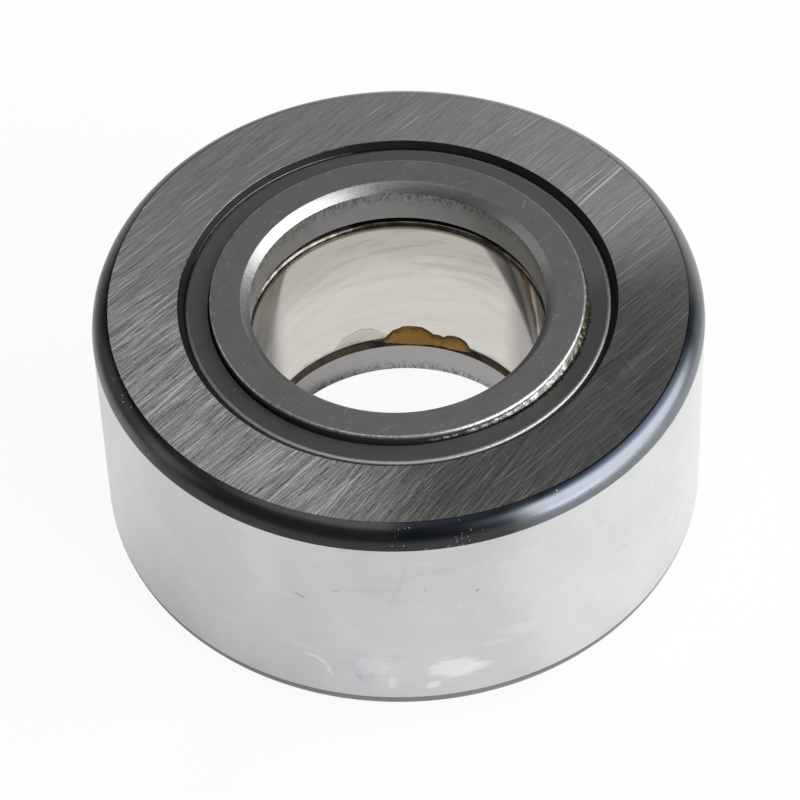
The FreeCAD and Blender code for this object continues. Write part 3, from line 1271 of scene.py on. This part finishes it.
rollers = [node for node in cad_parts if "_roller_" in node]
for node in rollers:
    roller = bpy.data.objects[node]
    roller.data.materials.clear()
    roller.data.materials.append(roller_finish)
print(len(rollers), "rollers keep their packed shape")

# %% [markdown]
# ## Riding the bodies
# The outer ring turns with its shields, while the flange rings and the inner ring stay on the axle
# with the oil and grease that cling to them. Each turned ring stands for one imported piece.

# %% Put the pieces on their bodies
places = {
    "outer_ring": (outer_ring, "outer_ring_set", "ground_steel"),
    "upper_shield": (upper_shield, "outer_ring_set", "blackened_sheet"),
    "lower_shield": (lower_shield, "outer_ring_set", "blackened_sheet"),
    "upper_flange_ring": (upper_flange, "inner_stack", "matte_steel"),
    "lower_flange_ring": (lower_flange, "inner_stack", "matte_steel"),
    "inner_ring": (inner_ring, "inner_stack", "polished_steel"),
}
for node, (piece, body, slot) in places.items():
    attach(piece, body)
    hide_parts(node)
for piece in (upper_oil, lower_oil, nose_grease, bore_grease):
    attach(piece, "inner_stack")
print(len(places), "turned rings stand for packed pieces")

# %% [markdown]
# ## Table
# The roller stands on a white table, which lies a hair below its lowest face, so that the two never
# flicker. The camera sees it almost plain white with a faint shadow, mirrors see a part of that white
# and a part of the lit table, and everything else sees the lit table with its shadow. Close to the
# walls that stand on it, where little light gets in, mirrors see less of the white, and also on the
# near side, which lies in half shade.

# %% Table
table_gap = 0.02 * MM

bpy.ops.object.select_all(action="DESELECT")
bpy.ops.mesh.primitive_plane_add(size=6.0, location=(0, 0, -table_gap))
floor = bpy.context.object
floor.name = "floor"
print("the table lies", table_gap / MM, "mm below the roller")

# %% What sees the white of the table
table = bpy.data.materials.new("white_table")
table.use_nodes = True
table.node_tree.nodes.clear()
started.append(table)
camera_white = 0.94
bore_shade_shift = (-2.0, 0, 0)
path = add("LightPath", {}).node.outputs
to_camera = times(path["Is Camera Ray"], camera_white)
to_mirrors = larger(path["Is Glossy Ray"], path["Is Transmission Ray"])
place = place_mm()
distance, outward = from_axis(place)
aside = add("VectorMath", {0: place, 1: bore_shade_shift}, operation="ADD")
in_bore = fade(from_axis(aside)[0], bore_wall - 0.9, bore_wall, 1.0, 0.02)
round_tread = fade(distance, 20, 30)
open_table = larger(in_bore, round_tread)
to_mirrors = times(to_mirrors, open_table)
near_side = towards(outward, 267)
near_table = fade(near_side, 0.0, 0.85, 0.7, 0.2)
under_roller = fade(distance, tread_radius / MM, tread_radius / MM - 2, 0.0, 0.7)
near_table = larger(near_table, under_roller)
to_mirrors = times(to_mirrors, near_table)
white_share = calc("ADD", to_mirrors, to_camera)
count_nodes("the share of white")

# %% Table finish
half_shade = tint(fade(near_side, 0.8, 0.92), grey(0.68), grey(0.56))
lit = add("BsdfDiffuse", {"Color": half_shade})
white = add("Emission", {"Color": grey(1.0), "Strength": 1.0})
add("OutputMaterial", {"Surface": add("MixShader", {0: white_share, 1: lit, 2: white})})
floor.data.materials.append(table)
count_nodes("its surface")

# %% [markdown]
# ## Light
# A large soft lamp stands low on the right: it makes the white arc in the mouth and the blue band on
# the corner. A pale card on the left and a soft lamp overhead lift the dark side. Their brightness is
# set as radiance, because that is what a mirror shows, and turned into watts for the lamp. The world
# is dim all round, with a low white backdrop behind the roller that draws light lines on its far edges.

# %% Lamps
def softbox(name, direction, distance, width, height, radiance):
    """An area lamp that faces the roller, with its brightness given as radiance."""
    lamp = bpy.data.objects.new(name, bpy.data.lights.new(name, "AREA"))
    bpy.context.scene.collection.objects.link(lamp)
    facing = Vector(direction).normalized()
    lamp.location = middle + facing * distance
    lamp.rotation_mode = "QUATERNION"
    lamp.rotation_quaternion = facing.to_track_quat("Z", "Y")
    lamp.data.shape = "RECTANGLE"
    lamp.data.size = width
    lamp.data.size_y = height
    lamp.data.energy = radiance * math.pi * width * height
    print(name, f"{lamp.data.energy:.1f} W")


lamps = {
    # direction from the roller, distance, width and height in metres, radiance
    "key_softbox": ((0.864, -0.25, 0.438), 0.9, 1.25, 0.86, 6.3),
    "left_card": ((-0.93, 0.17, 0.31), 1.0, 0.85, 0.55, 0.95),
    "overhead_softbox": ((-0.15, -0.2, 0.97), 0.9, 0.7, 0.7, 1.0),
}
for name, (direction, distance, width, height, radiance) in lamps.items():
    softbox(name, direction, distance, width, height, radiance)

# %% World
world_dim = 0.13
world_bright = 1.0

world = bpy.data.worlds.new("studio")
bpy.context.scene.world = world
world.use_nodes = True
started.append(world)
_, away, rise = split(add("TexCoord", {}, output="Generated"))
backdrop = times(fade(away, 0.5, 0.9), fade(rise, 0.35, 0.15))
background = world.node_tree.nodes["Background"]
background.inputs["Color"].default_value = grey(1.0)
strength = fade(backdrop, 0.0, 1.0, world_dim, world_bright)
world.node_tree.links.new(strength, background.inputs["Strength"])
bpy.context.scene.view_settings.view_transform = "Standard"
count_nodes("its backdrop")
